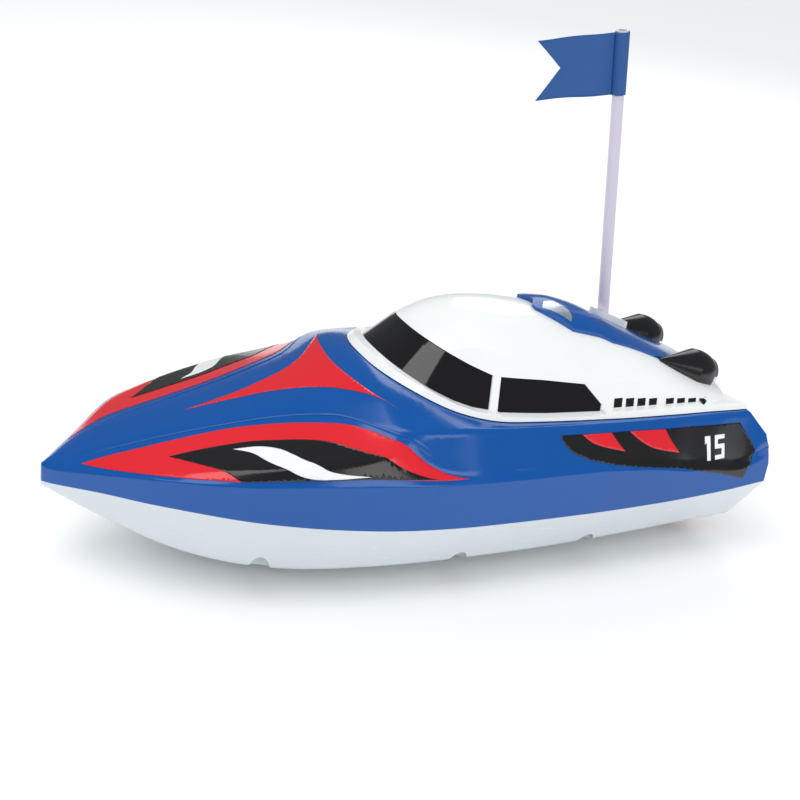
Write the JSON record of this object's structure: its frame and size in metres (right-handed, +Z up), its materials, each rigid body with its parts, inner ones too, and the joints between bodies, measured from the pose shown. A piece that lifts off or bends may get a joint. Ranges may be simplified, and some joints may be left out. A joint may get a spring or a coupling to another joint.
{
  "type": "rc boat",
  "caption": "Radio-controlled twin-screw speed boat: chined hull, humped deck, lift-off canopy with wraparound windows, engine cowls and a flag mast.",
  "frame": {"origin": "middle of the hull's length and beam, at the level of the flat keel it stands on", "axes": "+X to the bow, +Y to port, +Z up"},
  "size_m": [0.3052, 0.129, 0.211],
  "materials": {
    "hull_white": "gloss",
    "deck_blue": "gloss",
    "canopy_white": "gloss",
    "window_black": "high gloss",
    "lens_silver": "iridescent foil",
    "cowl_black": "gloss",
    "cap_chrome": "bright",
    "mast_grey": "satin",
    "flag_cloth": "matte",
    "seal_rubber": "matte",
    "latch_blue": "gloss",
    "steel": "satin",
    "motor_can": "satin",
    "brass": "satin",
    "coupling_rubber": "matte",
    "black_plastic": "matte",
    "propeller_red": "gloss",
    "tray_grey": "matte",
    "sleeve_green": "satin",
    "board_green": "satin",
    "slider_white": "matte"
  },
  "bodies": {
    "boat": {"lower_hull": "hull_white", "hull_gasket": "seal_rubber", "hull_screws": "steel", "deck_shell": "deck_blue", "hatch_seal": "seal_rubber", "latch_screw": "steel", "power_switch": "black_plastic", "switch_screws": "steel", "motor_port": "motor_can", "motor_starboard": "motor_can", "motor_clamp_port": "black_plastic", "motor_clamp_starboard": "black_plastic", "stern_tube_port": "brass", "stern_tube_starboard": "brass", "shaft_strut_port": "black_plastic", "shaft_strut_starboard": "black_plastic", "clamp_screws": "steel", "battery_tray": "tray_grey", "battery_pack": "sleeve_green", "battery_strap": "tray_grey", "strap_screws": "steel", "receiver_board": "board_green", "board_screws": "steel", "water_contacts": "brass"},
    "canopy": {"canopy_shell": "canopy_white", "windscreen": "window_black", "side_window_port": "window_black", "side_window_starboard": "window_black", "roof_scoop": "deck_blue", "scoop_lens_port": "lens_silver", "scoop_lens_starboard": "lens_silver", "engine_cowl_port": "cowl_black", "engine_cowl_starboard": "cowl_black", "cowl_cap_port": "cap_chrome", "cowl_cap_starboard": "cap_chrome", "mast_socket": "canopy_white"},
    "mast": {"flag_mast": "mast_grey", "flag": "flag_cloth"},
    "latch": {"hatch_latch": "latch_blue"},
    "switch": {"switch_slider": "slider_white"},
    "port_drive": {"propeller_port": "propeller_red", "prop_nut_port": "brass", "prop_shaft_port": "steel", "coupling_port": "coupling_rubber", "motor_shaft_port": "steel"},
    "starboard_drive": {"propeller_starboard": "propeller_red", "prop_nut_starboard": "brass", "prop_shaft_starboard": "steel", "coupling_starboard": "coupling_rubber", "motor_shaft_starboard": "steel"}
  },
  "joints": [
    {"name": "port_prop_spin", "type": "hinge", "parent": "boat", "child": "port_drive", "pos_m": [-0.1375, 0.024, 0.0136], "axis": [0.9925, 0, 0.1219], "continuous": true},
    {"name": "starboard_prop_spin", "type": "hinge", "parent": "boat", "child": "starboard_drive", "pos_m": [-0.1375, -0.024, 0.0136], "axis": [0.9925, 0, 0.1219], "continuous": true},
    {"name": "canopy_lift", "type": "slide", "parent": "boat", "child": "canopy", "axis": [0, 0, 1], "range_m": [0, 0.06]},
    {"name": "hatch_latch_turn", "type": "hinge", "parent": "boat", "child": "latch", "pos_m": [-0.1455, 0, 0.06015], "axis": [0.7331, 0, -0.6802], "range_deg": [0, 90]},
    {"name": "power_switch_slide", "type": "slide", "parent": "boat", "child": "switch", "axis": [0, 1, 0], "range_m": [0, 0.004]},
    {"name": "mast_pull", "type": "slide", "parent": "canopy", "child": "mast", "axis": [0.1478, 0, 0.989], "range_m": [0, 0.02]}
  ]
}
